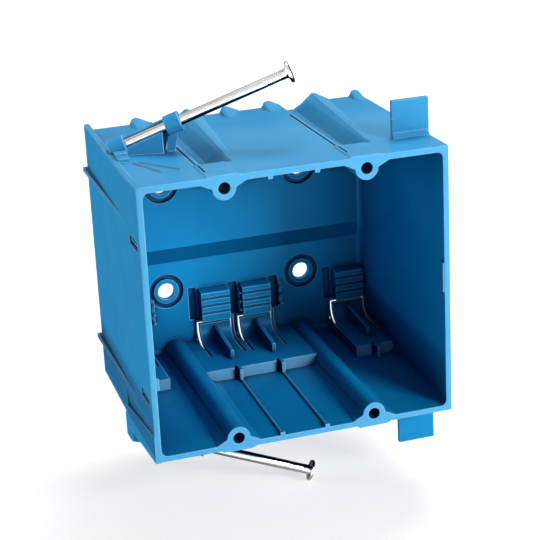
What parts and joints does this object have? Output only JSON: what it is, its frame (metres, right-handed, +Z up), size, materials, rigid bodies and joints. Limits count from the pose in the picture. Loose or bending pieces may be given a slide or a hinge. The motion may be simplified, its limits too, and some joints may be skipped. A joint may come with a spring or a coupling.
{
  "type": "new work outlet box",
  "caption": "Nail-on new work outlet box for two devices: stud plate, screw bosses, wallboard tabs, cable entries with flexing fingers, and slanting nails in their guides.",
  "frame": {"origin": "in the stud face of the left wall, at mid height, in the plane of the tabs' front faces (the back of the wallboard)", "axes": "+X away from the stud across the box, +Y into the wall, +Z up; the open front looks along -Y"},
  "size_m": [0.101, 0.079, 0.148],
  "materials": {
    "blue_pvc": "moulded blue PVC with a low sheen",
    "bright_steel": "bright common nail, plain drawn wire"
  },
  "bodies": {
    "root": {"box_body": "blue_pvc", "upper_nail": "bright_steel", "lower_nail": "bright_steel"}
  },
  "joints": []
}
